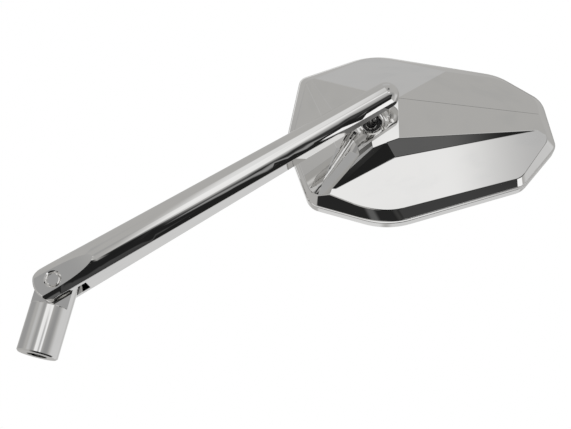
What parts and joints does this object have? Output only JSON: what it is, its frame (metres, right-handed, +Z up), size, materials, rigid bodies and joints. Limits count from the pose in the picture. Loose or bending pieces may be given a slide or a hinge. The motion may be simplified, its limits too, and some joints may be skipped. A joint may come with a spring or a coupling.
{
  "type": "motorcycle mirror",
  "caption": "Chrome motorcycle mirror: faceted angular head on a ball joint, slim tapered stem and a folding threaded base post.",
  "frame": {"origin": "centre of the base post's lower face, at the mouth of its threaded hole", "axes": "+Z up the base post, Y along the pivot pin, with the mirror glass facing +Y and the stem rising towards +X"},
  "size_m": [0.2137, 0.0474, 0.1824],
  "materials": {
    "chrome": "polished",
    "steel": "satin",
    "seat_plastic": "satin",
    "washer_plastic": "satin",
    "foam": "matte",
    "mirror": "polished"
  },
  "bodies": {
    "base": {"base_post": "chrome", "friction_washer_front": "washer_plastic", "friction_washer_rear": "washer_plastic"},
    "arm": {"stem": "chrome", "pivot_barrel": "chrome", "pivot_screw": "steel", "pivot_lock_washer": "steel", "ball_stud": "chrome", "stud_lock_washer": "steel"},
    "outer_seat": {"upper_seat": "seat_plastic"},
    "inner_seat": {"lower_seat": "seat_plastic"},
    "head": {"mirror_shell": "chrome", "pressure_cup": "steel", "disc_spring": "steel", "clamp_plate": "steel", "clamp_screw_1": "steel", "clamp_screw_2": "steel", "clamp_screw_3": "steel", "glass_tape": "foam", "mirror_glass": "mirror"}
  },
  "joints": [
    {"name": "base_pivot", "type": "hinge", "parent": "base", "child": "arm", "pos_m": [0, 0, 0.032], "axis": [0, -1, 0], "range_deg": [-43, 137]},
    {"name": "mirror_spin", "type": "hinge", "parent": "arm", "child": "outer_seat", "pos_m": [0.11766, 0.0255, 0.14249], "axis": [0, -1, 0], "continuous": true},
    {"name": "mirror_tilt", "type": "hinge", "parent": "outer_seat", "child": "inner_seat", "pos_m": [0.11766, 0.0255, 0.14249], "axis": [0.9851, 0, 0.1719], "range_deg": [-12, 12]},
    {"name": "mirror_turn", "type": "hinge", "parent": "inner_seat", "child": "head", "pos_m": [0.11766, 0.0255, 0.14249], "axis": [-0.1719, 0, 0.9851], "range_deg": [-12, 12]}
  ]
}
